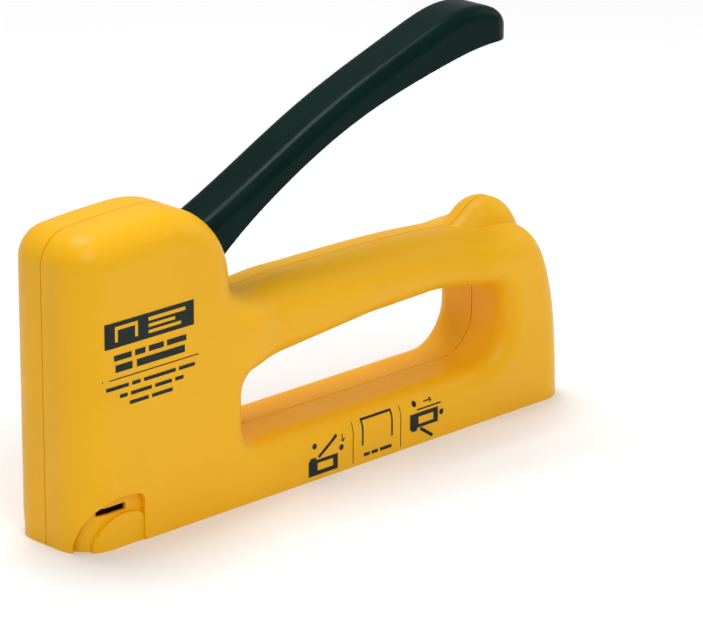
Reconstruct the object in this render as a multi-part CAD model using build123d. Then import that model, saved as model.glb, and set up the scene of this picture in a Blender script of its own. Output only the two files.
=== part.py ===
from build123d import *

import os

# Hand-squeezed staple gun for fine-wire staples, as separate parts.
#
# Frame: +X from the nose to the tail, +Z up, Y = 0 on the parting plane of the two half shells,
# origin at the middle of the underside. Lengths are in millimetres. Places along the tool are
# given from the nose and shifted by at().

# ---- driving dimensions of the body ----
body_length = 163.5
body_width = 27.0
head_length = 50.0
head_height = 76.0
head_front_height = 74.2
grip_top = 50.5
grip_front_depth = 19.4
grip_rear_depth = 14.8
grip_width = 22.0
knob_rise = 2.9
knob_reach = 19.1
knob_width = 13.4
knob_round = 6.0
post_length = 22.1
beam_height = 13.8
shell_wall = 2.4
floor_wall = 1.8
nose_corner_radius = 9.0
rim_radius = 8.2
hole_rim_radius = 5.4
seam_width = 0.3
seam_depth = 0.25

# ---- lever ----
lever_width = 14.0
lever_sheet = 1.5
lever_rise = 45.6
lever_overhang = 15.5
lever_bend_radius = 3.2
lever_root_radius = 8.2
lever_side_gap = 1.0
pivot_x = 37.0
pivot_z = 59.0

# ---- pins, screws and rivets ----
pin_radius = 2.5
pin_groove = 0.5
running_fit = 0.05
clip_thickness = 0.7
clip_radius = 4.2
bush_radius = 4.2
screw_radius = 1.5
screw_head_radius = 3.2
screw_head_height = 2.0
screw_length = 16.0
screw_sink = 3.4
screw_clearance = 0.3
boss_radius = 4.6
rivet_radius = 1.5
rivet_head_radius = 2.3
rivet_head_height = 0.6
latch_rivet_radius = 1.0

# ---- core frame and nose ----
frame_sheet = 1.2
frame_width = 20.0
frame_bottom = 18.0
frame_top = 67.5
frame_lobe_radius = 5.4
frame_bend_radius = 5.0
part_gap = 0.2
nose_plate_height = 30.0
nose_plate_width = 11.2

# ---- striker and power spring ----
blade_thickness = 1.2
blade_width = 10.4
blade_gap = 0.25
blade_bottom = 1.0
blade_top = 56.5
window_low = 50.2
window_high = 55.2
foot_z = 17.0
foot_sheet = 1.6
foot_reach = 16.5
foot_width = 13.0
spring_x = 15.0
spring_mean_radius = 5.5
spring_wire = 1.6
spring_turns = 7
seat_z = 46.5
seat_sheet = 1.5
spigot_radius = 4.2
spigot_length = 3.5
bumper_length = 12.0
bumper_width = 12.0

# ---- tongue and return spring ----
tongue_thickness = 4.0
tongue_tip_height = 3.0
tongue_root_height = 9.0
tongue_hub_radius = 3.4
tongue_drop = 6.2
collar_radius = 2.1
return_mean_radius = 3.9
return_wire = 0.8
return_turns = 2

# ---- magazine ----
channel_width = 13.2
channel_sheet = 1.0
channel_bottom = 0.4
channel_top = 10.8
channel_side_gap = 0.3
rail_width = 8.8
rail_sheet = 0.9
rail_top = 8.4
rail_bottom = 1.2
rail_slot = 3.2
pusher_length = 12.0
pusher_sheet = 0.8
pusher_fit = 0.15
lug_width = 2.6
rod_radius = 0.8
rod_z = 4.6
follower_mean_radius = 1.7
follower_wire = 0.5
follower_pitch = 4.0
cap_length = 6.0
latch_length = 15.0
latch_width = 6.0
latch_sheet = 0.6
rib_thickness = 1.6
beam_ribs = 6

# ---- recess with the staple window ----
recess_start = 0.9
recess_end = 18.7
recess_height = 12.6
recess_depth = 1.5
lobe_margin = 4.6
lobe_drop = 0.5
slit_height = 1.8
slit_length = 8.5

# ---- values worked out from those above ----
half_length = body_length / 2
half_width = body_width / 2
cavity_half = half_width - shell_wall
frame_half = frame_width / 2
nose_inner = shell_wall + part_gap
blade_front = nose_inner + frame_sheet + blade_gap
blade_back = blade_front + blade_thickness
channel_front = blade_back + blade_gap
channel_back = body_length - shell_wall - cap_length + 1.0
cap_front = channel_back + part_gap
hole_front = head_length + 2.2
hole_back = body_length - post_length
hole_roof_front = grip_top - grip_front_depth
hole_roof_rear = grip_top - grip_rear_depth
foot_top = foot_z + foot_sheet
seat_back = pivot_x - return_mean_radius - return_wire - part_gap
screw_seat = half_width - screw_sink - screw_head_height
screw_places = [
    (head_length - 5.3, beam_height + 8.0),
    (head_length - 5.3, beam_height + 28.5),
    ((hole_front + hole_back) / 2, (grip_top + hole_roof_rear) / 2 - 0.2),
    (hole_back + 8.2, beam_height + 16.2),
]
tongue_rivet_places = [(pivot_x + 6.6, pivot_z - 1.2), (pivot_x + 7.6, pivot_z + 5.2)]


def at(x):
    """Return the frame's X for a distance back from the nose."""
    return x - half_length


def side_face(*points):
    """Return a face in the XZ plane from straight runs through (distance from nose, z)."""
    corners = [(at(x), z) for x, z in points]
    return Plane.XZ * make_face(Polyline(*corners, close=True))


def along_y(face, low, high):
    """Extrude an XZ-plane face so that it spans low..high in Y."""
    return Pos(0, high, 0) * extrude(face, amount=high - low)


def block(x_low, x_high, y_low, y_high, z_low, z_high):
    """Return a box between the given distances from the nose, Y and Z limits."""
    size = Box(x_high - x_low, y_high - y_low, z_high - z_low)
    return Pos(at((x_low + x_high) / 2), (y_low + y_high) / 2, (z_low + z_high) / 2) * size


def rod_y(x, z, radius, y_low, y_high):
    """Return a cylinder whose axis runs along Y."""
    turned = Rot(90, 0, 0) * Cylinder(radius, y_high - y_low)
    return Pos(at(x), (y_low + y_high) / 2, z) * turned


def rod_x(x_low, x_high, radius, z):
    """Return a cylinder on the centre plane whose axis runs along X."""
    turned = Rot(0, 90, 0) * Cylinder(radius, x_high - x_low)
    return Pos(at((x_low + x_high) / 2), 0, z) * turned


# ---------------------------------------------------------------- body form
def outer_outline(inset):
    """Closed side outline of the body, shrunk by inset at the nose, the top and the tail."""
    top_z = head_height - inset
    rear_x = head_length - inset
    nose_x = inset
    grip_z = grip_top - inset
    front = Line((at(nose_x), 0), (at(nose_x), head_front_height - inset))
    crown = ThreePointArc(
        front @ 1,
        (at(nose_x + (rear_x - nose_x) * 0.27), top_z - 0.55),
        (at(nose_x + (rear_x - nose_x) * 0.56), top_z),
    )
    shoulder = Spline(
        crown @ 1,
        (at(rear_x - 5.6), top_z - 6.5),
        (at(rear_x), top_z - 20.5),
        tangents=[crown % 1, (0.02, -1)],
    )
    neck = Spline(
        shoulder @ 1,
        (at(rear_x + 7.5), grip_z - 0.9),
        (at(rear_x + 22.0), grip_z),
        tangents=[(0.02, -1), (1, 0.02)],
    )
    tail = Spline(
        neck @ 1,
        (at(body_length - 34.0), grip_z - 1.9),
        (at(body_length - 25.5), grip_z - 2.6),
        (at(body_length - 17.5 - inset), grip_z - 2.8),
        (at(body_length - 9.3 - inset), grip_z - 7.0),
        (at(body_length - 4.0 - inset), grip_z - 17.0),
        (at(body_length - inset), 0),
        tangents=[(1, -0.02), (0.04, -1)],
    )
    base = Line(tail @ 1, front @ 0)
    return Plane.XZ * make_face([front, crown, shoulder, neck, tail, base])


def knob(inset):
    """Return the rounded knob on the grip's rear end, which the lever comes down near."""
    half = knob_width / 2 - inset
    crest_x = body_length - knob_reach
    crest_z = grip_top + knob_rise - inset
    crest = ThreePointArc(
        (at(crest_x - 5.2), crest_z - 1.4), (at(crest_x), crest_z), (at(crest_x + 5.2), crest_z - 1.9)
    )
    rise = Spline(
        (at(crest_x - 15.5), grip_top - 3.4 - inset),
        (at(crest_x - 10.0), grip_top - 1.5 - inset),
        crest @ 0,
        tangents=[(1, 0.1), crest % 0],
    )
    fall = Spline(
        crest @ 1, (at(body_length - 7.0 - inset), grip_top - 13.0), tangents=[crest % 1, (0.2, -1)]
    )
    inside = Polyline(fall @ 1, (at(crest_x), grip_top - 13.0), rise @ 0)
    outline = Plane.XZ * make_face([rise, crest, fall, inside])
    block_form = along_y(outline, -half, half)
    rims = [
        edge
        for edge in block_form.edges()
        if edge.geom_type != GeomType.LINE and abs(edge.position_at(0.5).Y) > half - 0.01
    ]
    return fillet(rims, knob_round - inset)


def hole_outline(outset):
    """Closed side outline of the finger hole, grown by outset all round."""
    low = beam_height - outset
    front = hole_front - outset
    back = hole_back + outset
    middle = (front + back) / 2
    outline = FilletPolyline(
        (at(front), low),
        (at(back), low),
        (at(back), hole_roof_rear - 2.0 + outset),
        (at(back - 22.0), hole_roof_rear + outset),
        (at(middle), hole_roof_rear - 0.6 + outset),
        (at(front), hole_roof_front + outset),
        radius=[5.0 + outset, 10.5 + outset, 5.0 + outset, 30.0, 60.0, 4.5 + outset],
        close=True,
    )
    return Plane.XZ * make_face(outline)


def waist_cutters(inset):
    """Return the two side blocks that narrow the grip between the head and the post."""
    wide = half_width - inset
    narrow = grip_width / 2 - inset
    start = hole_front - inset
    stop = hole_back - 2.0 + inset
    sweep = 16.0
    front = Bezier(
        (at(start), wide),
        (at(start + sweep / 2), wide),
        (at(start + sweep / 2), narrow),
        (at(start + sweep), narrow),
    )
    flat = Line(front @ 1, (at(stop - sweep), narrow))
    rear = Bezier(
        flat @ 1,
        (at(stop - sweep / 2), narrow),
        (at(stop - sweep / 2), wide),
        (at(stop), wide),
    )
    outside = Polyline(rear @ 1, (at(stop), body_width), (at(start), body_width), front @ 0)
    face = make_face([front, flat, rear, outside])
    cutter = Pos(0, 0, beam_height + 6.0) * extrude(face, amount=head_height)
    return cutter, mirror(cutter, about=Plane.XZ)


def nose_cutters(inset):
    """Return the two corner pieces that round the nose's upright edges."""
    radius = nose_corner_radius - inset
    low = (Align.MIN, Align.MIN, Align.MIN)
    centre_x = at(nose_corner_radius)
    centre_y = half_width - nose_corner_radius
    corner = Pos(centre_x - radius, centre_y, 0) * Box(radius, radius, head_height, align=low)
    corner -= Pos(centre_x, centre_y, 0) * Cylinder(
        radius, head_height, align=(Align.CENTER, Align.CENTER, Align.MIN)
    )
    return corner, mirror(corner, about=Plane.XZ)


def sharp_edges(solid):
    """Return the edges above the underside where two faces meet at a clear corner."""
    owners = {}
    for face in solid.faces():
        for edge in face.edges():
            owners.setdefault(edge, []).append(face)
    chosen = []
    for edge, faces in owners.items():
        middle = edge.position_at(0.5)
        if len(faces) == 2 and middle.Z > 0.5:
            angle = faces[0].normal_at(middle).get_angle(faces[1].normal_at(middle))
            if angle > 25:
                chosen.append(edge)
    return chosen


def round_rims(form, inset):
    """Round the outer rim of a body form, then the rim of its finger hole."""
    def in_hole(edge):
        middle = edge.position_at(0.5)
        inside = at(hole_front) - inset - 0.1 < middle.X < at(hole_back) + inset + 0.1
        return inside and beam_height - inset - 0.1 < middle.Z < grip_top - 8.0 + inset

    outer = [edge for edge in sharp_edges(form) if not in_hole(edge)]
    form = fillet(outer, rim_radius - inset)
    rim = [edge for edge in sharp_edges(form) if in_hole(edge)]
    return fillet(rim, hole_rim_radius - inset)


def body_form(inset):
    """Return the body's form, solid all through, shrunk by inset everywhere but the base."""
    wide = half_width - inset
    form = along_y(outer_outline(inset), -wide, wide)
    form -= along_y(hole_outline(inset), -body_width, body_width)
    for cutter in (*waist_cutters(inset), *nose_cutters(inset)):
        form -= cutter
    return round_rims(form, inset) + knob(inset)


# ---------------------------------------------------------------- half shells
def recess_outline(margin):
    """Closed arch outline on the side of the nose, lowered and set back by margin."""
    start = recess_start + margin * 0.75
    top = recess_height - margin
    crown_x = start + (recess_end - start) * 0.62
    rise = Bezier(
        (at(start), 1.5), (at(start + 0.6), top * 0.72), (at(start + 4.6), top), (at(crown_x), top)
    )
    fall = FilletPolyline(
        rise @ 1, (at(recess_end), top - 0.8), (at(recess_end), -1), radius=2.2
    )
    foot = Polyline(fall @ 1, (at(start), -1), rise @ 0)
    return Plane.XZ * make_face([rise, fall, foot])


def nose_skin(depth):
    """Return a solid that holds everything deeper than depth under the nose's side wall."""
    core = block(depth, head_length, -half_width + depth, half_width - depth, -2, head_height)
    for cutter in nose_cutters(depth):
        core -= Pos(0, 0, -2) * cutter
    return core


def recess_cutters():
    """Return what the arched recesses and the staple windows take out of both sides."""
    everything = recess_outline(0)
    lobe = recess_outline(lobe_margin)
    cutters = []
    for low, high in ((-body_width, -1.0), (1.0, body_width)):
        arch = along_y(everything, low, high)
        hump = along_y(lobe, low, high)
        cutters.append(arch - hump - nose_skin(recess_depth))
        cutters.append(hump - nose_skin(lobe_drop))
    slit_x = recess_start + lobe_margin
    slit_z = recess_height - lobe_margin + 0.5
    for side in (-1, 1):
        ends = sorted((side * (cavity_half - 2.0), side * body_width))
        cutters.append(block(slit_x, slit_x + slit_length, *ends, slit_z, slit_z + slit_height))
    return cutters


def inner_ribs():
    """Return the ribs and screw bosses that stand inside the shells, before trimming."""
    first = pivot_x + 16.0
    last = hole_back - 4.0
    ribs = []
    for index in range(beam_ribs):
        rib_x = first + (last - first) * index / (beam_ribs - 1)
        for side in (-1, 1):
            ends = sorted((side * (channel_width / 2 + channel_side_gap), side * half_width))
            ribs.append(block(rib_x, rib_x + rib_thickness, *ends, 0.5, beam_height))
    for rib_x in (spring_x, pivot_x - 8.0):
        for side in (-1, 1):
            ends = sorted((side * (frame_half + part_gap), side * half_width))
            ribs.append(block(rib_x, rib_x + rib_thickness, *ends, frame_bottom, frame_top - 4))
    for boss_x, boss_z in screw_places:
        ribs.append(rod_y(boss_x, boss_z, boss_radius, -half_width, half_width))
    return ribs


def shell_cutters():
    """Return the slots and holes that go through the shells."""
    slot_half = channel_width / 2 + channel_side_gap
    lever_half = lever_width / 2 + lever_side_gap
    magazine_top = channel_top + channel_side_gap
    cutters = [
        block(nose_inner - part_gap, body_length + 1, -slot_half, slot_half, -1, floor_wall + 1),
        block(hole_back, body_length + 1, -slot_half, slot_half, -1, magazine_top),
        block(
            head_length - 9, head_length + 12, -lever_half, lever_half, pivot_z - 5, pivot_z + 12.6
        ),
    ]
    for screw_x, screw_z in screw_places:
        head = screw_head_radius + screw_clearance
        cutters.append(rod_y(screw_x, screw_z, head, screw_seat, body_width))
        cutters.append(rod_y(screw_x, screw_z, screw_radius + screw_clearance, 0, screw_seat))
        cutters.append(rod_y(screw_x, screw_z, screw_radius, screw_seat - screw_length - 0.4, 0))
    return cutters + recess_cutters()


def half_shells():
    """Return the left and the right shell, which meet on the plane Y = 0."""
    form = body_form(0)
    hollow = body_form(shell_wall)
    hollow -= block(-1, body_length + 1, -body_width, body_width, -1, floor_wall)
    whole = form - hollow
    for rib in inner_ribs():
        whole += rib & form
    seam = form & block(-1, body_length + 1, -seam_width / 2, seam_width / 2, -1, head_height + 1)
    whole -= seam - body_form(seam_depth)
    for cutter in shell_cutters():
        whole -= cutter
    left = whole & block(-1, body_length + 1, -body_width, 0, -1, head_height + 1)
    right = whole & block(-1, body_length + 1, 0, body_width, -1, head_height + 1)
    return left, right


def housing_screws():
    """Return the identical self-tapping screws, put in from the +Y side."""
    screws = []
    for screw_x, screw_z in screw_places:
        head = rod_y(screw_x, screw_z, screw_head_radius, screw_seat, screw_seat + screw_head_height)
        shank = rod_y(screw_x, screw_z, screw_radius, screw_seat - screw_length, screw_seat)
        screw = head + shank
        top = screw_seat + screw_head_height
        for turn in (0, 90):
            bar = Rot(0, turn, 0) * Box(3.6, 2.4, 0.7)
            screw -= Pos(at(screw_x), top, screw_z) * bar
        screws.append(screw)
    return Compound(children=[screw.solid() for screw in screws])


# ---------------------------------------------------------------- core frame
def core_frame():
    """Return the bent steel U that carries the lever pin and the spring seat."""
    back = pivot_x + 2.2
    plan = FilletPolyline(
        (at(back), frame_half),
        (at(nose_inner), frame_half),
        (at(nose_inner), -frame_half),
        (at(back), -frame_half),
        radius=frame_bend_radius,
    )
    inner = frame_half - frame_sheet
    inside = FilletPolyline(
        (at(back), -inner),
        (at(nose_inner + frame_sheet), -inner),
        (at(nose_inner + frame_sheet), inner),
        (at(back), inner),
        radius=frame_bend_radius - frame_sheet,
    )
    ends = [Line(plan @ 1, inside @ 0), Line(inside @ 1, plan @ 0)]
    wall = make_face([plan, ends[0], inside, ends[1]])
    frame = Pos(0, 0, frame_bottom) * extrude(wall, amount=frame_top - frame_bottom)
    clear = nose_plate_height + part_gap
    frame -= block(0, spring_x - 6.0, -body_width, body_width, 0, clear)
    for side in (-1, 1):
        ends = sorted((side * inner, side * frame_half))
        lobe = rod_y(pivot_x, pivot_z, frame_lobe_radius, *ends)
        frame += lobe
        tab = block(spring_x - 3.2, spring_x + 3.2, *ends, seat_z - 0.1, seat_z + seat_sheet + 0.1)
        frame -= tab
        frame -= rod_y(spring_x + 9.0, frame_bottom + 14.0, 5.0, *ends)
    return frame - rod_y(pivot_x, pivot_z, pin_radius, -body_width, body_width)


def nose_plate():
    """Return the steel plate that guides the front of the blade."""
    half = nose_plate_width / 2
    plate = block(
        nose_inner, nose_inner + frame_sheet, -half, half, channel_bottom, nose_plate_height
    )
    upright = plate.edges().filter_by(Axis.X)
    return fillet(upright, 1.0)


def spring_seat():
    """Return the bracket above the power spring, with its spigot and its two side tabs."""
    inner = frame_half - frame_sheet - running_fit
    top = seat_z + seat_sheet
    seat = block(blade_back + 1.6, seat_back, -inner, inner, seat_z, top)
    seat += block(spring_x - 3.0, spring_x + 3.0, -frame_half, frame_half, seat_z, top)
    spigot = Cylinder(spigot_radius, spigot_length)
    return seat + Pos(at(spring_x), 0, seat_z - spigot_length / 2) * spigot


def bumper():
    """Return the rubber block between the magazine's roof and the striker's foot."""
    half = bumper_width / 2
    start = blade_back + 2.4
    low = channel_top + 0.05
    return block(start, start + bumper_length, -half, half, low, foot_z - 0.1)


# ---------------------------------------------------------------- striker
def striker():
    """Return the drive blade with the tongue's window and the bent spring foot."""
    half = blade_width / 2
    blade = block(blade_front, blade_back, -half, half, blade_bottom, blade_top)
    foot = block(
        blade_front, blade_back + foot_reach, -foot_width / 2, foot_width / 2, foot_z, foot_top
    )
    foot -= block(0, blade_back + 1.0, half, body_width, 0, head_height)
    foot -= block(0, blade_back + 1.0, -body_width, -half, 0, head_height)
    window = tongue_thickness / 2 + 0.5
    blade -= block(0, spring_x, -window, window, window_low, window_high)
    return blade + foot


def coil(radius, wire, pitch, length):
    """Return a helical spring on the Z axis, from 0 to length along the wire's centre."""
    path = Helix(pitch, length, radius)
    section = Plane(path @ 0, z_dir=path % 0) * Circle(wire / 2)
    return sweep(section, path=path)


def power_spring():
    """Return the spring between the striker's foot and the seat."""
    low = foot_top + spring_wire / 2
    high = seat_z - spring_wire / 2
    length = high - low
    spring = coil(spring_mean_radius, spring_wire, length / spring_turns, length)
    return Pos(at(spring_x), 0, low) * spring


# ---------------------------------------------------------------- lever
def lever_place(along, up):
    """Return (x, z) of a lever point from its share of the reach and the rise."""
    reach = body_length - lever_overhang - pivot_x
    return at(pivot_x + along * reach), pivot_z + up * lever_rise


def lever_outline(drop):
    """Closed side outline of the lever's arm, its top lowered by drop."""
    def top(along, up):
        x, z = lever_place(along, up)
        return x, z - drop

    crown = Spline(
        (at(pivot_x), pivot_z + lever_root_radius - drop),
        top(0.117, 0.263),
        top(0.432, 0.636),
        top(0.739, 0.919),
        top(0.893, 0.998),
        top(0.962, 0.950),
        top(1.000, 0.870),
        tangents=[(1, 0.08), (0.8, -0.6)],
    )
    belly = Spline(
        lever_place(1.000, 0.782),
        lever_place(0.888, 0.778),
        lever_place(0.765, 0.724),
        lever_place(0.517, 0.560),
        lever_place(0.278, 0.291),
        lever_place(0.126, 0.050),
        (at(pivot_x + 3.4), pivot_z - lever_root_radius + 0.8),
    )
    root = Polyline(belly @ 1, (at(pivot_x), pivot_z), crown @ 0)
    return Plane.XZ * make_face([crown, Line(crown @ 1, belly @ 0), belly, root])


def lever():
    """Return the pressed-steel lever, an inverted channel with a closed, rounded tip."""
    half = lever_width / 2
    arm = along_y(lever_outline(0), -half, half)
    tip = body_length - lever_overhang
    tip_radius = half - 0.6
    for side in (-1, 1):
        ends = sorted((side * (half - tip_radius), side * (half + 1)))
        corner = block(tip - tip_radius, tip + 1, *ends, pivot_z, pivot_z + 2 * lever_rise)
        corner -= Pos(at(tip - tip_radius), side * (half - tip_radius), 0) * Cylinder(
            tip_radius, 6 * lever_rise
        )
        arm -= corner
    root_top = Vector(at(pivot_x), 0, pivot_z + lever_root_radius)
    ridge = [edge for edge in arm.edges() if edge.length > lever_rise and meets(edge, root_top)]
    arm = fillet(ridge, lever_bend_radius)
    arm += rod_y(pivot_x, pivot_z, lever_root_radius, -half, half)
    inside = half - lever_sheet
    hollow = along_y(lever_outline(lever_sheet), -inside, inside)
    hollow += Pos(0, 0, -3) * hollow
    hollow &= block(0, tip - 9.0, -half, half, 0, 3 * lever_rise)
    arm -= hollow
    arm -= rod_y(pivot_x, pivot_z, lever_root_radius + 1, -inside, inside)
    for place in tongue_rivet_places:
        arm -= rod_y(*place, rivet_radius, -half, half)
    return arm - rod_y(pivot_x, pivot_z, pin_radius + running_fit, -half, half)


def meets(edge, point):
    """Tell whether an edge has an end straight beside a point, at any Y."""
    ends = (edge.position_at(0), edge.position_at(1))
    return any(abs(end.X - point.X) < 0.1 and abs(end.Z - point.Z) < 0.1 for end in ends)


def lever_pin():
    """Return the pin, with a groove near each end for its clip."""
    reach = frame_half + part_gap + clip_thickness + 0.1
    pin = rod_y(pivot_x, pivot_z, pin_radius, -reach, reach)
    for side in (-1, 1):
        ends = sorted((side * (frame_half + part_gap - 0.05), side * (reach - 0.05)))
        ring = rod_y(pivot_x, pivot_z, pin_radius + 1, *ends)
        pin -= ring - rod_y(pivot_x, pivot_z, pin_radius - pin_groove, *ends)
    return pin


def pin_clips():
    """Return the two open clips in the pin's grooves."""
    clips = []
    for side in (-1, 1):
        start = frame_half + part_gap
        ends = sorted((side * start, side * (start + clip_thickness)))
        clip = rod_y(pivot_x, pivot_z, clip_radius, *ends)
        clip -= rod_y(pivot_x, pivot_z, pin_radius - pin_groove, *ends)
        mouth = pin_radius - pin_groove - 0.3
        clip -= block(pivot_x - mouth, pivot_x + mouth, *ends, pivot_z - clip_radius, pivot_z)
        clips.append(clip.solid())
    return Compound(children=clips)


def lever_bushes():
    """Return the two plastic rings between the lever's cheeks and the frame."""
    bushes = []
    for side in (-1, 1):
        low = lever_width / 2 + 0.1
        high = frame_half - frame_sheet - 0.1
        ends = sorted((side * low, side * high))
        ring = rod_y(pivot_x, pivot_z, bush_radius, *ends)
        ring -= rod_y(pivot_x, pivot_z, pin_radius + running_fit, *ends)
        bushes.append(ring.solid())
    return Compound(children=bushes)


def lift_tongue():
    """Return the hardened tongue: hub, lifting nose and the two riveted collars."""
    half = tongue_thickness / 2
    tip_x = blade_front + 0.9
    tip_z = pivot_z - tongue_drop
    plate = side_face(
        (tip_x, tip_z - tongue_tip_height / 2),
        (pivot_x, pivot_z - tongue_root_height / 2),
        (pivot_x + 9.4, pivot_z - 1.6),
        (pivot_x + 9.4, pivot_z + 6.6),
        (pivot_x + 5.4, pivot_z + 6.6),
        (pivot_x - 3.0, pivot_z + tongue_root_height / 2),
        (tip_x, tip_z + tongue_tip_height / 2),
    )
    tongue = along_y(plate, -half, half)
    reach = lever_width / 2 - lever_sheet - 0.1
    tongue += rod_y(pivot_x, pivot_z, tongue_hub_radius, -reach, reach)
    for place in tongue_rivet_places:
        tongue += rod_y(*place, collar_radius, -reach, reach)
        tongue -= rod_y(*place, rivet_radius, -reach, reach)
    return tongue - rod_y(pivot_x, pivot_z, pin_radius + running_fit, -reach, reach)


def tongue_rivets():
    """Return the two rivets through the lever's cheeks and the tongue."""
    half = lever_width / 2
    rivets = []
    for place in tongue_rivet_places:
        rivet = rod_y(*place, rivet_radius, -half, half)
        rivet += rod_y(*place, rivet_head_radius, half, half + rivet_head_height)
        rivet += rod_y(*place, rivet_head_radius, -half - rivet_head_height, -half)
        rivets.append(rivet.solid())
    return Compound(children=rivets)


def return_spring():
    """Return the torsion spring beside the tongue, with a leg down to a boss and one up."""
    start = tongue_thickness / 2 + return_wire / 2 + 0.1
    length = return_wire * 1.15 * return_turns
    turned = Rot(90, 0, 0) * coil(return_mean_radius, return_wire, length / return_turns, length)
    spring = Pos(at(pivot_x), start + length, pivot_z) * turned
    leg_x = at(pivot_x + return_mean_radius)
    rest_z = screw_places[1][1] + boss_radius + 0.2
    down = Cylinder(return_wire / 2, pivot_z - rest_z)
    spring += Pos(leg_x, start + length, (pivot_z + rest_z) / 2) * down
    up_length = lever_root_radius - lever_sheet - 0.4
    up = Cylinder(return_wire / 2, up_length)
    return spring + Pos(leg_x, start, pivot_z + up_length / 2) * up


# ---------------------------------------------------------------- magazine
def inverted_channel(start, stop, width, sheet, low, high):
    """Return a bent sheet channel that is open below."""
    half = width / 2
    inner = half - sheet
    outside = block(start, stop, -half, half, low, high)
    return outside - block(start, stop, -inner, inner, low, high - sheet)


def magazine_channel():
    """Return the fixed channel that the staples are loaded into."""
    channel = inverted_channel(
        channel_front, channel_back, channel_width, channel_sheet, channel_bottom, channel_top
    )
    for place in latch_rivet_places():
        channel -= Pos(at(place), 0, channel_top) * Cylinder(latch_rivet_radius, 4)
    return channel


def feed_rail():
    """Return the sliding rail that the staples straddle, slotted along its top."""
    start = channel_front + part_gap
    rail = inverted_channel(start, cap_front, rail_width, rail_sheet, rail_bottom, rail_top)
    half = rail_width / 2
    rail += block(start, start + rail_sheet, -half, half, rail_bottom, rail_top)
    slot = rail_slot / 2
    rail -= block(start + 4, cap_front - 6, -slot, slot, rail_top - 2 * rail_sheet, rail_top + 1)
    return rail - rod_x(0, body_length, rod_radius, rod_z)


def pusher():
    """Return the staple follower: a saddle on the rail with a lug on the guide rod."""
    start = channel_front + 2.3
    stop = start + pusher_length
    top = rail_top + pusher_fit + pusher_sheet
    width = rail_width + 2 * (pusher_fit + pusher_sheet)
    saddle = inverted_channel(start, stop, width, pusher_sheet, rail_bottom + 1.4, top)
    lug_start = stop - 4.0
    lug = lug_width / 2
    saddle += block(lug_start, lug_start + 2.0, -lug, lug, rod_z - 2.2, top - 0.1)
    return saddle - rod_x(lug_start - 1, lug_start + 3, rod_radius + 0.15, rod_z)


def pusher_spring():
    """Return the long thin spring between the follower's lug and the end cap."""
    start = channel_front + 2.3 + pusher_length - 2.0 + follower_wire
    length = cap_front - follower_wire - start
    turns = round(length / follower_pitch)
    spring = coil(follower_mean_radius, follower_wire, length / turns, length)
    return Pos(at(start), 0, rod_z) * (Rot(0, 90, 0) * spring)


def guide_rod():
    """Return the wire rod that keeps the follower's spring straight."""
    return rod_x(channel_front + part_gap, cap_front + cap_length / 2, rod_radius, rod_z)


def magazine_cap():
    """Return the end cap that closes and pulls the rail, with a nail groove below."""
    half = channel_width / 2
    back = cap_front + cap_length
    cap = block(cap_front, back, -half, half, 0.6, channel_top - 0.2)
    upright = cap.edges().filter_by(Axis.Z).sort_by(Axis.X)[-2:]
    cap = fillet(upright, 1.5)
    cap -= rod_y(cap_front + cap_length * 0.45, 0.0, 1.8, -half, half)
    return cap - rod_x(cap_front, cap_front + cap_length / 2, rod_radius, rod_z)


def latch_rivet_places():
    """Return where the latch's rivets stand, back from the nose."""
    start = cap_front + cap_length * 0.6 - latch_length
    return start + 2.0, start + 6.0


def rail_latch():
    """Return the leaf spring whose nib bears on the end cap and holds the rail in."""
    half = latch_width / 2
    stop = cap_front + cap_length * 0.6
    leaf = block(stop - latch_length, stop, -half, half, channel_top, channel_top + latch_sheet)
    leaf += block(stop - 1.4, stop, -half, half, channel_top - 0.15, channel_top + 0.1)
    for place in latch_rivet_places():
        leaf -= Pos(at(place), 0, channel_top) * Cylinder(latch_rivet_radius, 4)
    return leaf


def latch_rivets():
    """Return the two small rivets that hold the latch on the channel's roof."""
    rivets = []
    roof = channel_top - channel_sheet
    top = channel_top + latch_sheet
    for place in latch_rivet_places():
        middle = (roof + top) / 2
        rivet = Pos(at(place), 0, middle) * Cylinder(latch_rivet_radius, top - roof)
        rivet += Pos(at(place), 0, top + 0.3) * Cylinder(1.8 * latch_rivet_radius, 0.6)
        rivet += Pos(at(place), 0, roof - 0.25) * Cylinder(1.8 * latch_rivet_radius, 0.5)
        rivets.append(rivet.solid())
    return Compound(children=rivets)


def all_parts():
    """Return every part of the staple gun by its node name."""
    left, right = half_shells()
    return {
        "left_shell": left,
        "right_shell": right,
        "housing_screws": housing_screws(),
        "core_frame": core_frame(),
        "nose_plate": nose_plate(),
        "spring_seat": spring_seat(),
        "bumper": bumper(),
        "striker": striker(),
        "power_spring": power_spring(),
        "lever": lever(),
        "lever_pin": lever_pin(),
        "pin_clips": pin_clips(),
        "lever_bushes": lever_bushes(),
        "lift_tongue": lift_tongue(),
        "tongue_rivets": tongue_rivets(),
        "return_spring": return_spring(),
        "magazine_channel": magazine_channel(),
        "feed_rail": feed_rail(),
        "pusher": pusher(),
        "pusher_spring": pusher_spring(),
        "guide_rod": guide_rod(),
        "magazine_cap": magazine_cap(),
        "rail_latch": rail_latch(),
        "latch_rivets": latch_rivets(),
    }


if __name__ == "__main__":
    os.makedirs("parts", exist_ok=True)
    for node, shape in all_parts().items():
        export_step(shape, f"parts/{node}.step")
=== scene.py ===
"""Looks of a hand-squeezed staple gun: two moulded shells, a pressed lever and the staple magazine.

Lengths are in metres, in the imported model's own frame: +X from the nose to the tail, +Z up, and the
printed side faces -Y.
"""

from __future__ import annotations

import logging
import math
from dataclasses import dataclass
from enum import Enum

import bpy
from mathutils import Matrix, Vector


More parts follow.
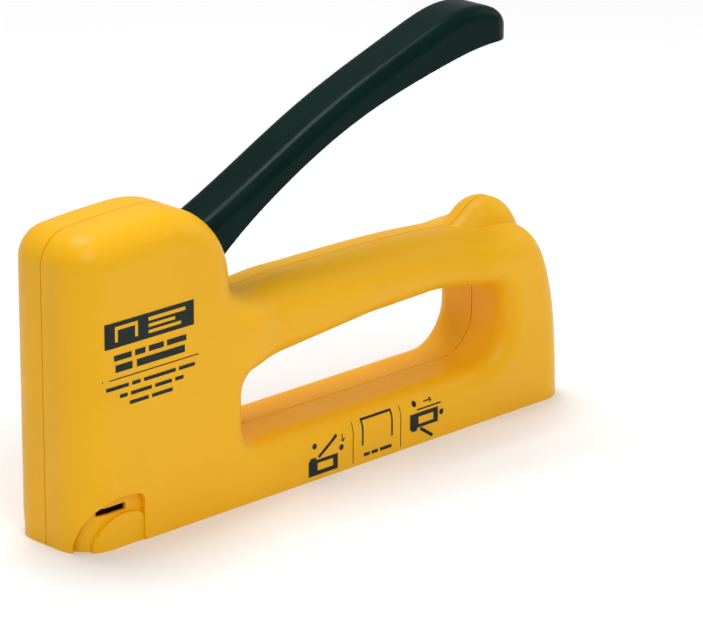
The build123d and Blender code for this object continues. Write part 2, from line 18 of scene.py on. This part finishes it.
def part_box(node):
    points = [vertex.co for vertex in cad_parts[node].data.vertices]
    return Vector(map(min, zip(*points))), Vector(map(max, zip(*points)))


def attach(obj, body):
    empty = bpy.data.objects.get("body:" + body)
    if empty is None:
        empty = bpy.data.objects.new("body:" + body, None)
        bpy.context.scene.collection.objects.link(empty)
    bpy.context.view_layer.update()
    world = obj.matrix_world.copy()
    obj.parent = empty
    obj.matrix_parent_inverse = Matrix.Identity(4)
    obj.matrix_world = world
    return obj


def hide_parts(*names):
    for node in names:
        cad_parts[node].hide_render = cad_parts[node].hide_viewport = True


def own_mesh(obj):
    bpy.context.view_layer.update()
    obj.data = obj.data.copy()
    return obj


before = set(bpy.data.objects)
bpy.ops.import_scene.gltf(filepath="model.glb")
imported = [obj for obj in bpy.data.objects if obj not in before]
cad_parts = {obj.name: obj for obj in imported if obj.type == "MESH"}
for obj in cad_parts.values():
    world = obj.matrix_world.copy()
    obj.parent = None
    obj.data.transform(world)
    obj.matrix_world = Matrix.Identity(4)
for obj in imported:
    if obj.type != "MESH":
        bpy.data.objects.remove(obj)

LOG = logging.getLogger("staple_gun")
MM = 0.001
WELD = 0.002 * MM
SPRING_CORNER = math.radians(40.0)
RULE_PLACES = (86.2, 102.6)
DOT_SIDES = 20
POWER_STROKE = 12.3 * MM
FEED_STROKE = 100.0 * MM


class Grain(Enum):
    """Direction in which a metal surface was drawn or ground."""

    ALONG_X = (6.0, 260.0, 260.0)
    ALONG_Y = (260.0, 6.0, 260.0)
    ALONG_Z = (260.0, 260.0, 6.0)


# ------------------------------------------------------------------ node graphs
class Graph:
    """A material's node tree with short ways to add and join nodes."""

    def __init__(self, name: str) -> None:
        """Make an empty material with an output and a principled shader.

        Args:
            name: The material's name.
        """
        self.material = bpy.data.materials.new(name)
        self.material.use_nodes = True
        self.tree = self.material.node_tree
        self.tree.nodes.clear()
        self.output = self.tree.nodes.new("ShaderNodeOutputMaterial")
        self.shader = self.tree.nodes.new("ShaderNodeBsdfPrincipled")
        self.tree.links.new(self.shader.outputs["BSDF"], self.output.inputs["Surface"])
        self.place = self.tree.nodes.new("ShaderNodeTexCoord").outputs["Object"]

    def set(self, **values: float | tuple[float, ...]) -> None:
        """Set constant values on the shader's own sockets, named with underscores for spaces."""
        for key, value in values.items():
            self.shader.inputs[key.replace("_", " ")].default_value = value

    def stretched(self, scale: tuple[float, float, float]) -> bpy.types.NodeSocket:
        """Return object coordinates scaled by axis.

        Args:
            scale: The scale along X, Y and Z.

        Returns:
            The scaled coordinates.
        """
        mapping = self.tree.nodes.new("ShaderNodeMapping")
        mapping.inputs["Scale"].default_value = scale
        self.tree.links.new(self.place, mapping.inputs["Vector"])
        return mapping.outputs["Vector"]

    def noise(
        self, scale: float, detail: float = 3.0, vector: bpy.types.NodeSocket | None = None
    ) -> bpy.types.NodeSocket:
        """Return a noise value.

        Args:
            scale: Cells per metre.
            detail: Octaves of finer noise.
            vector: Coordinates to use instead of plain object coordinates.

        Returns:
            The noise node's factor output.
        """
        node = self.tree.nodes.new("ShaderNodeTexNoise")
        node.inputs["Scale"].default_value = scale
        node.inputs["Detail"].default_value = detail
        self.tree.links.new(vector or self.place, node.inputs["Vector"])
        return node.outputs["Fac"]

    def spread(
        self, value: bpy.types.NodeSocket, low: float, high: float, start: float = 0.3,
        stop: float = 0.7,
    ) -> bpy.types.NodeSocket:
        """Map a value's start..stop onto low..high, held at both ends.

        Args:
            value: The value to map.
            low: The result at start and below.
            high: The result at stop and above.
            start: Where the value begins to count.
            stop: Where the value stops counting.

        Returns:
            The mapped value.
        """
        node = self.tree.nodes.new("ShaderNodeMapRange")
        for key, number in (
            ("From Min", start), ("From Max", stop), ("To Min", low), ("To Max", high)
        ):
            node.inputs[key].default_value = number
        self.tree.links.new(value, node.inputs["Value"])
        return node.outputs["Result"]

    def blend(
        self, value: bpy.types.NodeSocket, first: tuple[float, ...], second: tuple[float, ...]
    ) -> bpy.types.NodeSocket:
        """Return a colour between first and second.

        Args:
            value: The share of the second colour, from 0 to 1.
            first: The colour at 0.
            second: The colour at 1.

        Returns:
            The blended colour.
        """
        node = self.tree.nodes.new("ShaderNodeMix")
        node.data_type = "RGBA"
        node.inputs["A"].default_value = (*first, 1.0)
        node.inputs["B"].default_value = (*second, 1.0)
        self.tree.links.new(value, node.inputs["Factor"])
        return [socket for socket in node.outputs if socket.type == "RGBA"][0]

    def colour(self, socket: bpy.types.NodeSocket) -> None:
        """Send a colour to the shader."""
        self.tree.links.new(socket, self.shader.inputs["Base Color"])

    def roughness(self, socket: bpy.types.NodeSocket) -> None:
        """Send a roughness to the shader."""
        self.tree.links.new(socket, self.shader.inputs["Roughness"])

    def relief(self, layers: list[tuple[bpy.types.NodeSocket, float, float]]) -> None:
        """Stack bump layers on the shader's normal.

        Args:
            layers: Height socket, depth in metres and strength of each layer.
        """
        normal = None
        for height, depth, strength in layers:
            bump = self.tree.nodes.new("ShaderNodeBump")
            bump.inputs["Distance"].default_value = depth
            bump.inputs["Strength"].default_value = strength
            self.tree.links.new(height, bump.inputs["Height"])
            if normal is not None:
                self.tree.links.new(normal, bump.inputs["Normal"])
            normal = bump.outputs["Normal"]
        self.tree.links.new(normal, self.shader.inputs["Normal"])


def darker(colour: tuple[float, ...], share: float) -> tuple[float, ...]:
    """Return a colour scaled towards black by a share."""
    return tuple(channel * (1.0 - share) for channel in colour)


# ------------------------------------------------------------------ finishes
@dataclass(frozen=True)
class MouldedPlastic:
    """Injection-moulded plastic with an even spark-eroded grain and a soft gloss."""

    name: str
    colour: tuple[float, float, float]
    gloss_low: float = 0.34
    gloss_high: float = 0.46
    grain_scale: float = 2600.0
    grain_depth: float = 0.00006
    shade: float = 0.07
    glow: float = 0.04

    def material(self) -> bpy.types.Material:
        """Build the node material."""
        graph = Graph(self.name)
        flow = graph.spread(graph.noise(22.0, 4.0), 0.0, 1.0)
        graph.colour(graph.blend(flow, self.colour, darker(self.colour, self.shade)))
        handling = graph.noise(95.0, 6.0)
        graph.roughness(graph.spread(handling, self.gloss_low, self.gloss_high))
        scuffs = graph.noise(1.0, 8.0, graph.stretched((40.0, 900.0, 420.0)))
        graph.relief(
            [
                (graph.noise(18.0, 1.0), 0.0004, 0.10),
                (graph.noise(self.grain_scale, 2.0), self.grain_depth, 0.35),
                (graph.spread(scuffs, 0.0, 1.0, 0.62, 0.72), 0.00003, 0.25),
            ]
        )
        graph.set(IOR=1.53, Specular_IOR_Level=0.22, Subsurface_Weight=self.glow, Subsurface_Scale=0.002)
        return graph.material


@dataclass(frozen=True)
class StovedEnamel:
    """Glossy stoved enamel on pressed steel, with faint orange peel and handling haze."""

    name: str
    colour: tuple[float, float, float]
    warm: tuple[float, float, float]

    def material(self) -> bpy.types.Material:
        """Build the node material."""
        graph = Graph(self.name)
        depth = graph.spread(graph.noise(35.0, 4.0), 0.0, 1.0)
        graph.colour(graph.blend(depth, self.colour, self.warm))
        haze = graph.noise(1.0, 7.0, graph.stretched((60.0, 160.0, 160.0)))
        graph.roughness(graph.spread(haze, 0.22, 0.34))
        graph.relief(
            [
                (graph.noise(620.0, 2.0), 0.00005, 0.22),
                (graph.noise(4200.0, 1.0), 0.000015, 0.15),
            ]
        )
        graph.set(IOR=1.5, Specular_IOR_Level=0.06)
        return graph.material


@dataclass(frozen=True)
class DrawnSteel:
    """Bare or plated steel with streaks along the way it was rolled, drawn or ground."""

    name: str
    colour: tuple[float, float, float]
    grain: Grain
    gloss_low: float = 0.24
    gloss_high: float = 0.42
    streak: float = 0.16

    def material(self) -> bpy.types.Material:
        """Build the node material."""
        graph = Graph(self.name)
        lines = graph.noise(1.0, 6.0, graph.stretched(tuple(8.0 * s for s in self.grain.value)))
        graph.colour(
            graph.blend(graph.spread(lines, 0.0, 1.0), self.colour, darker(self.colour, self.streak))
        )
        stain = graph.noise(140.0, 5.0)
        graph.roughness(graph.spread(stain, self.gloss_low, self.gloss_high))
        graph.relief([(lines, 0.00002, 0.35), (stain, 0.00004, 0.12)])
        graph.set(Metallic=1.0)
        return graph.material


@dataclass(frozen=True)
class DullMoulding:
    """Rubber, nylon or acetal: no metal, little gloss, a fine even tooth."""

    name: str
    colour: tuple[float, float, float]
    gloss: float
    tooth: float

    def material(self) -> bpy.types.Material:
        """Build the node material."""
        graph = Graph(self.name)
        bloom = graph.spread(graph.noise(160.0, 5.0), 0.0, 1.0)
        graph.colour(graph.blend(bloom, self.colour, darker(self.colour, 0.22)))
        graph.roughness(graph.spread(graph.noise(420.0, 3.0), self.gloss, self.gloss + 0.12))
        graph.relief([(graph.noise(3000.0, 2.0), self.tooth, 0.4)])
        graph.set(IOR=1.5)
        return graph.material


@dataclass(frozen=True)
class PadInk:
    """Pad-printed ink: thin, dark and slightly uneven over the plastic's grain."""

    name: str
    colour: tuple[float, float, float]

    def material(self) -> bpy.types.Material:
        """Build the node material."""
        graph = Graph(self.name)
        density = graph.spread(graph.noise(900.0, 4.0), 0.0, 1.0)
        graph.colour(graph.blend(density, self.colour, darker(self.colour, 0.35)))
        graph.roughness(graph.spread(graph.noise(300.0, 3.0), 0.42, 0.55))
        graph.relief([(graph.noise(2600.0, 2.0), 0.00006, 0.3)])
        graph.set(IOR=1.5, Specular_IOR_Level=0.2)
        return graph.material


@dataclass(frozen=True)
class MattFloor:
    """The plain pale floor and its seamless rise behind the tool."""

    name: str = "pale_floor"
    shade: float = 0.93

    def material(self) -> bpy.types.Material:
        """Build the node material."""
        graph = Graph(self.name)
        tone = graph.spread(graph.noise(3.0, 2.0), 0.0, 1.0)
        light = (self.shade, self.shade, self.shade)
        graph.colour(graph.blend(tone, light, darker(light, 0.01)))
        graph.set(Roughness=0.85)
        return graph.material


YELLOW = MouldedPlastic("yellow_moulding", (0.93, 0.475, 0.004))
GREEN = StovedEnamel("dark_green_enamel", (0.0012, 0.0125, 0.0095), (0.0020, 0.0170, 0.0125))
RAIL_STEEL = DrawnSteel("rail_steel", (0.62, 0.63, 0.64), Grain.ALONG_X)
BLADE_STEEL = DrawnSteel("blade_steel", (0.60, 0.60, 0.61), Grain.ALONG_Z, 0.2, 0.34)
PIN_STEEL = DrawnSteel("pin_steel", (0.66, 0.66, 0.67), Grain.ALONG_Y, 0.18, 0.3)
PLATED = DrawnSteel("plated_steel", (0.55, 0.57, 0.60), Grain.ALONG_Z, 0.3, 0.48, 0.1)
WIRE = DrawnSteel("spring_wire", (0.30, 0.30, 0.32), Grain.ALONG_Z, 0.26, 0.4, 0.25)
RUBBER = DullMoulding("buffer_rubber", (0.018, 0.018, 0.018), 0.72, 0.00006)
ACETAL = DullMoulding("white_acetal", (0.74, 0.74, 0.70), 0.38, 0.00002)
NYLON = DullMoulding("black_nylon", (0.02, 0.021, 0.021), 0.45, 0.00005)
INK = PadInk("printed_ink", (0.010, 0.020, 0.016))


# ------------------------------------------------------------------ mesh helpers
def clear_selection() -> None:
    """Deselect every object."""
    if bpy.context.object is not None and bpy.context.object.mode != "OBJECT":
        bpy.ops.object.mode_set(mode="OBJECT")
    bpy.ops.object.select_all(action="DESELECT")


def make_active(piece: bpy.types.Object) -> None:
    """Select one object alone and make it active.

    Args:
        piece: The object to select.
    """
    clear_selection()
    piece.select_set(True)
    bpy.context.view_layer.objects.active = piece


def dress(piece: bpy.types.Object, material: bpy.types.Material) -> None:
    """Give a piece one material all over.

    Args:
        piece: The piece to dress.
        material: The material that every face takes.
    """
    piece.data.materials.clear()
    piece.data.materials.append(material)
    for polygon in piece.data.polygons:
        polygon.material_index = 0


def settle(piece: bpy.types.Object) -> None:
    """Move a piece's place, turn and size into its mesh.

    Args:
        piece: The piece whose object ends at the origin, unturned and unscaled.
    """
    make_active(piece)
    bpy.ops.object.transform_apply(location=True, rotation=True, scale=True)


def merged_copy(node: str, name: str) -> bpy.types.Object:
    """Copy a CAD node's mesh into a new piece with its loose triangles joined.

    Args:
        node: The CAD node to copy.
        name: The new piece's name.

    Returns:
        The new piece, in the CAD node's own place.
    """
    piece = bpy.data.objects.new(name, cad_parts[node].data.copy())
    bpy.context.scene.collection.objects.link(piece)
    make_active(piece)
    bpy.ops.object.mode_set(mode="EDIT")
    bpy.ops.mesh.select_all(action="SELECT")
    bpy.ops.mesh.remove_doubles(threshold=WELD)
    bpy.ops.mesh.select_all(action="DESELECT")
    bpy.ops.object.mode_set(mode="OBJECT")
    return piece


# ------------------------------------------------------------------ springs
@dataclass(frozen=True)
class CoilSpring:
    """A coil spring copied from its CAD node, welded, shaded smooth and dressed in wire.

    Attributes:
        node: The CAD node that the spring stands for.
        body: The body that its fixed end rides on.
        joint: The joint that presses it; not used.
        axis: The direction in which it shortens; not used.
        stroke: How far its free end moves at the joint's limit; not used.
    """

    node: str
    body: str
    joint: str
    axis: tuple[float, float, float]
    stroke: float

    def build(self, material: bpy.types.Material) -> None:
        """Make the spring and put it in place of the plain one.

        Args:
            material: The wire's material.
        """
        spring = merged_copy(self.node, f"{self.node}_coils")
        make_active(spring)
        bpy.ops.object.shade_smooth_by_angle(angle=SPRING_CORNER)
        dress(spring, material)
        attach(spring, self.body)
        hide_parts(self.node)
        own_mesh(spring)


# ------------------------------------------------------------------ the body
@dataclass(frozen=True)
class BodyShells:
    """The two yellow half shells, which meet in a thin parting groove."""

    nodes: tuple[str, str] = ("left_shell", "right_shell")

    def build(self) -> bpy.types.Object:
        """Dress both shells in the moulded plastic.

        Returns:
            The shell that carries the printed marks.
        """
        material = YELLOW.material()
        for node in self.nodes:
            dress(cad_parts[node], material)
        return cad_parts[self.nodes[0]]


@dataclass(frozen=True)
class Lever:
    """The enamelled lever with the tongue that is riveted into it."""

    def build(self) -> None:
        """Dress the lever and what is fixed to it."""
        dress(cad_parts["lever"], GREEN.material())
        dress(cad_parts["lift_tongue"], BLADE_STEEL.material())
        dress(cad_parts["tongue_rivets"], PIN_STEEL.material())


@dataclass(frozen=True)
class HeadMechanism:
    """What works inside the head: frame, pin, spring, striker and buffer."""

    def build(self) -> None:
        """Dress every part of the mechanism by what it is made of."""
        plated = PLATED.material()
        pin = PIN_STEEL.material()
        wire = WIRE.material()
        blade = bpy.data.materials["blade_steel"]
        for node in ("core_frame", "spring_seat", "housing_screws"):
            dress(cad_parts[node], plated)
        for node in ("lever_pin", "pin_clips", "latch_rivets"):
            dress(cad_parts[node], pin)
        for node in ("return_spring", "rail_latch"):
            dress(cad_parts[node], wire)
        CoilSpring("power_spring", "core", "striker_slide", (0, 0, 1), POWER_STROKE).build(wire)
        CoilSpring("pusher_spring", "magazine", "pusher_slide", (1, 0, 0), FEED_STROKE).build(wire)
        for node in ("striker", "nose_plate"):
            dress(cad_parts[node], blade)
        dress(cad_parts["bumper"], RUBBER.material())
        dress(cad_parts["lever_bushes"], ACETAL.material())


@dataclass(frozen=True)
class Magazine:
    """The channel under the beam, the rail that pulls out of it and the follower."""

    def build(self) -> None:
        """Dress the magazine's steel and its end cap."""
        steel = RAIL_STEEL.material()
        for node in ("magazine_channel", "feed_rail", "pusher", "guide_rod"):
            dress(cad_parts[node], steel)
        dress(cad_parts["magazine_cap"], NYLON.material())


# ------------------------------------------------------------------ printed marks
@dataclass(frozen=True)
class Bar:
    """A flat printed bar on the tool's side.

    Attributes:
        x: Middle of the bar, back from the nose, in millimetres.
        z: Middle of the bar, up from the base, in millimetres.
        length: Length in millimetres.
        height: Height in millimetres.
        turn: Slope in degrees, rising towards the tail.
    """

    x: float
    z: float
    length: float
    height: float
    turn: float = 0.0


@dataclass(frozen=True)
class Dot:
    """A flat printed disc on the tool's side, with its middle and radius in millimetres."""

    x: float
    z: float
    radius: float


def cleared_block(
    left: float, right: float, low: float, high: float, clear: list[tuple[float, ...]]
) -> list[Bar]:
    """Tile a solid block, except where it is left clear.

    Args:
        left: The block's front end.
        right: The block's rear end.
        low: The block's lower edge.
        high: The block's upper edge.
        clear: Boxes left unprinted, each as left, right, low and high.

    Returns:
        The bars that make the block.
    """
    across = sorted({left, right, *(edge for box in clear for edge in box[:2])})
    upward = sorted({low, high, *(edge for box in clear for edge in box[2:])})
    bars = []
    for x_low, x_high in zip(across, across[1:]):
        for z_low, z_high in zip(upward, upward[1:]):
            x, z = (x_low + x_high) / 2, (z_low + z_high) / 2
            if not any(box[0] < x < box[1] and box[2] < z < box[3] for box in clear):
                bars.append(Bar(x, z, x_high - x_low, z_high - z_low))
    return bars


def arrow(x: float, z: float, length: float, turn: float) -> list[Bar]:
    """Return a small printed arrow.

    Args:
        x: Middle of the shaft, back from the nose.
        z: Middle of the shaft, up from the base.
        length: The shaft's length.
        turn: Which way it points, in degrees from the tail's direction upwards.

    Returns:
        The shaft and the two barbs.
    """
    ahead = (math.cos(math.radians(turn)), math.sin(math.radians(turn)))
    bars = [Bar(x, z, length, 0.32, turn)]
    for side in (-1, 1):
        slope = turn + side * 42.0
        back = 0.42
        tip_x, tip_z = x + ahead[0] * length / 2, z + ahead[1] * length / 2
        bars.append(
            Bar(
                tip_x - math.cos(math.radians(slope)) * back,
                tip_z - math.sin(math.radians(slope)) * back,
                1.0, 0.3, slope,
            )
        )
    return bars


@dataclass
class PrintedMarks:
    """Generic printed marks: a label, text-like bars and three loading pictures.

    Attributes:
        film: How far the ink stands off the plastic.
        cell: Longest face along a bar, so that it follows the curved side.
    """

    film: float = 0.035 * MM
    cell: float = 0.9

    def build(self, shell: bpy.types.Object) -> None:
        """Print every mark on the shell's side.

        Args:
            shell: The shell that carries the marks.
        """
        ink = INK.material()
        groups = {
            "label_block": self.label(),
            "label_lines": self.text_rows(),
            "picture_rules": self.rules(),
            "picture_closed": self.closed_picture(),
            "picture_staple": self.staple_picture(),
            "picture_open": self.open_picture(),
        }
        for name, shapes in groups.items():
            self.print_group(name, shapes, ink, shell)
            LOG.info("printed %s from %d shapes", name, len(shapes))

    def label(self) -> list[Bar]:
        """Return the label: a solid block with a staple and three lines left clear."""
        staple_left, staple_right, leg = 10.2, 17.2, 0.9
        clear = [
            (staple_left, staple_right, 53.0, 53.9),
            (staple_left, staple_left + leg, 50.2, 53.0),
            (staple_right - leg, staple_right, 50.2, 53.0),
            (20.4, 31.8, 53.0, 53.9),
            (20.4, 28.6, 51.5, 52.3),
            (20.4, 30.4, 50.0, 50.8),
        ]
        return cleared_block(7.2, 34.4, 48.9, 55.0, clear)

    def text_rows(self) -> list[Bar]:
        """Return the rows of word-like bars and the thin rule between them."""
        rows = [
            (46.4, 1.4, (5.4, 3.2, 4.6, 6.0), 9.8, 1.0),
            (43.8, 1.8, (5.2, 14.8), 10.2, 1.3),
            (39.3, 0.9, (6.8, 2.6, 9.8, 5.0), 7.4, 1.0),
            (37.0, 0.9, (2.4, 6.4, 5.2, 2.6), 11.4, 1.0),
            (34.8, 0.9, (5.8, 6.4), 14.4, 1.0),
        ]
        bars = [Bar(21.1, 41.4, 29.4, 0.28)]
        for z, height, words, start, gap in rows:
            for word in words:
                bars.append(Bar(start + word / 2, z, word, height))
                start += word + gap
        return bars

    def rules(self) -> list[Bar]:
        """Return the two thin upright rules between the pictures."""
        return [Bar(x, 6.2, 0.24, 10.4) for x in RULE_PLACES]

    def staple_picture(self) -> list[Bar]:
        """Return a staple and the row of short bars under it."""
        left, right, low, high, wire = 89.2, 99.8, 4.7, 11.5, 0.55
        bars = [Bar((left + right) / 2, high - wire / 2, right - left, wire)]
        for x in (left + wire / 2, right - wire / 2):
            bars.append(Bar(x, (low + high - wire) / 2, wire, high - wire - low))
        return bars + [Bar(x, 2.2, long, 0.85) for x, long in ((90.9, 2.0), (93.6, 2.2), (97.4, 4.0))]

    def tool(self, left: float, base: float, way: int) -> list[Bar | Dot]:
        """Return a small side view of the tool, without its lever.

        Args:
            left: The picture's front end, back from the nose.
            base: The line that the picture stands on or hangs from.
            way: 1 for upright, -1 for upside down.

        Returns:
            The shapes that the picture is made of.
        """
        sketch = [
            (1.5, 2.0, 3.0, 4.0), (1.5, 4.3, 2.0, 0.6), (6.4, 0.55, 6.8, 1.1),
            (9.0, 2.05, 1.6, 1.9), (6.4, 3.45, 6.8, 0.9),
        ]
        return [
            Bar(left + x, base + way * z, length, height)
            for x, z, length, height in sketch
        ]

    def closed_picture(self) -> list[Bar | Dot]:
        """Return the tool standing with its lever raised and a squeeze arrow."""
        shapes = self.tool(71.2, 1.2, 1) + [Bar(77.6, 7.7, 7.4, 0.85, 34.0)]
        shapes += [Dot(73.2, 8.7, 0.75), Dot(82.2, 6.2, 0.75), *arrow(82.6, 8.6, 1.9, -78.0)]
        return shapes

    def open_picture(self) -> list[Bar | Dot]:
        """Return the tool upside down, with the lever below and the rail drawn out."""
        shapes = self.tool(105.8, 8.3, -1) + [Bar(111.6, 2.6, 5.2, 0.85, -34.0)]
        shapes += [Bar(112.4, 9.1, 8.4, 0.4), Dot(107.6, 10.7, 0.75), Dot(116.8, 6.6, 0.75)]
        return shapes + arrow(112.2, 10.6, 2.6, 0.0)

    def print_group(
        self, name: str, shapes: list[Bar | Dot], ink: bpy.types.Material, shell: bpy.types.Object
    ) -> None:
        """Lay one group of shapes on the shell as a thin film.

        Args:
            name: The finished piece's name.
            shapes: The shapes that make the group.
            ink: The ink's material.
            shell: The shell to print on.
        """
        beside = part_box("left_shell")[0] - Vector((0.0, 2.0 * MM, 0.0))
        sheets = [
            self.lay_dot(shape, beside) if isinstance(shape, Dot) else self.lay_bar(shape, beside)
            for shape in shapes
        ]
        clear_selection()
        for sheet in sheets:
            sheet.select_set(True)
        bpy.context.view_layer.objects.active = sheets[0]
        bpy.ops.object.join()
        group = bpy.context.view_layer.objects.active
        group.name = name
        settle(group)
        wrap = group.modifiers.new("lie_on_side", "SHRINKWRAP")
        wrap.target = shell
        wrap.wrap_method = "PROJECT"
        wrap.use_project_y = True
        wrap.use_positive_direction = True
        wrap.use_negative_direction = False
        wrap.offset = self.film
        bpy.ops.object.modifier_apply(modifier=wrap.name)
        dress(group, ink)
        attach(group, "core")

    def lay_bar(self, bar: Bar, beside: Vector) -> bpy.types.Object:
        """Make one bar as a finely divided upright sheet beside the shell.

        Args:
            bar: The bar's place and size.
            beside: The corner that the bar's place is measured from.

        Returns:
            The sheet, not yet wrapped on the shell.
        """
        clear_selection()
        bpy.ops.mesh.primitive_plane_add(
            size=1.0,
            location=beside + Vector((bar.x * MM, 0.0, bar.z * MM)),
            rotation=(math.radians(90.0), -math.radians(bar.turn), 0.0),
        )
        sheet = bpy.context.object
        sheet.scale = (bar.length * MM, bar.height * MM, 1.0)
        settle(sheet)
        bpy.ops.object.mode_set(mode="EDIT")
        bpy.ops.mesh.select_all(action="SELECT")
        cuts = min(12, max(1, round(max(bar.length, bar.height) / self.cell)))
        bpy.ops.mesh.subdivide(number_cuts=cuts)
        bpy.ops.mesh.select_all(action="DESELECT")
        bpy.ops.object.mode_set(mode="OBJECT")
        return sheet

    def lay_dot(self, dot: Dot, beside: Vector) -> bpy.types.Object:
        """Make one disc as an upright sheet beside the shell.

        Args:
            dot: The disc's place and size.
            beside: The corner that the disc's place is measured from.

        Returns:
            The sheet, not yet wrapped on the shell.
        """
        clear_selection()
        bpy.ops.mesh.primitive_circle_add(
            vertices=DOT_SIDES,
            radius=dot.radius * MM,
            fill_type="TRIFAN",
            location=beside + Vector((dot.x * MM, 0.0, dot.z * MM)),
            rotation=(math.radians(90.0), 0.0, 0.0),
        )
        sheet = bpy.context.object
        settle(sheet)
        return sheet


# ------------------------------------------------------------------ studio
@dataclass
class Studio:
    """Pale floor, soft lights and the camera.

    Attributes:
        azimuth: Camera's turn about Z, in degrees; 0 looks along +Y.
        elevation: Camera's height above the horizon, in degrees.
        distance: Camera's distance from the aim point.
        aim_back: How far the aim point lies back from the nose.
        aim_height: How far the aim point lies above the floor.
        lens: Focal length in millimetres, on a 36 mm sensor.
        shift: How far the view is moved right and up, in widths of the sensor.
        room: Strength of the even white light.
    """

    azimuth: float = -44.0
    elevation: float = 18.6
    distance: float = 0.961
    aim_back: float = 80.0 * MM
    aim_height: float = 40.0 * MM
    lens: float = 204.8
    shift: tuple[float, float] = (0.0791, -0.0172)
    room: float = 0.42

    def build(self) -> None:
        """Make the floor, the lights, the world and the camera."""
        self.lay_floor()
        self.hang_light("key_softbox", (-0.35, -0.80, 1.05), 0.7, 5.6)
        self.hang_light("top_softbox", (0.06, 0.28, 1.20), 0.5, 8.5)
        self.hang_light("tail_softbox", (0.95, -0.35, 0.55), 0.6, 1.0)
        self.light_room()
        self.place_camera()

    def lay_floor(self) -> None:
        """Lay a wide floor under the tool."""
        clear_selection()
        bpy.ops.mesh.primitive_plane_add(size=12.0, location=(0.0, 0.0, 0.0))
        floor = bpy.context.object
        floor.name = "studio_floor"
        dress(floor, MattFloor().material())

    def hang_light(
        self, name: str, place: tuple[float, float, float], size: float, power: float
    ) -> None:
        """Hang a square area light that faces the tool.

        Args:
            name: The light's name.
            place: Where it hangs.
            size: Length of its side.
            power: Power in watts.
        """
        data = bpy.data.lights.new(name, "AREA")
        data.shape = "SQUARE"
        data.size = size
        data.energy = power
        light = bpy.data.objects.new(name, data)
        bpy.context.scene.collection.objects.link(light)
        light.location = place
        towards = Vector((0.0, 0.0, self.aim_height)) - light.location
        light.rotation_euler = towards.to_track_quat("-Z", "Y").to_euler()

    def light_room(self) -> None:
        """Give the room an even white light."""
        world = bpy.data.worlds.new("white_room")
        bpy.context.scene.world = world
        world.use_nodes = True
        background = world.node_tree.nodes["Background"]
        background.inputs["Color"].default_value = (1.0, 1.0, 1.0, 1.0)
        background.inputs["Strength"].default_value = self.room
        bpy.context.scene.view_settings.view_transform = "Standard"

    def place_camera(self) -> None:
        """Aim the camera at the tool's printed side from above the nose."""
        turn, rise = math.radians(self.azimuth), math.radians(self.elevation)
        back = Vector(
            (math.sin(turn) * math.cos(rise), -math.cos(turn) * math.cos(rise), math.sin(rise))
        )
        right = Vector((math.cos(turn), math.sin(turn), 0.0))
        up = back.cross(right)
        data = bpy.data.cameras.new("front_view")
        data.sensor_width = 36.0
        data.lens = self.lens
        data.shift_x, data.shift_y = self.shift
        camera = bpy.data.objects.new("front_view", data)
        bpy.context.scene.collection.objects.link(camera)
        turned = Matrix((right, up, back)).transposed().to_4x4()
        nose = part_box("left_shell")[0].x
        aim = Vector((nose + self.aim_back, 0.0, self.aim_height))
        camera.matrix_world = Matrix.Translation(aim + back * self.distance) @ turned
        bpy.context.scene.camera = camera


def main() -> None:
    """Build every sub-assembly in order, then the printed marks and the studio."""
    logging.basicConfig(level=logging.INFO, format="%(name)s: %(message)s")
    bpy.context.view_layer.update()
    shell = BodyShells().build()
    LOG.info("shells dressed")
    Lever().build()
    LOG.info("lever dressed")
    HeadMechanism().build()
    LOG.info("head mechanism dressed")
    Magazine().build()
    LOG.info("magazine dressed")
    PrintedMarks().build(shell)
    Studio().build()


if __name__ == "__main__":
    main()
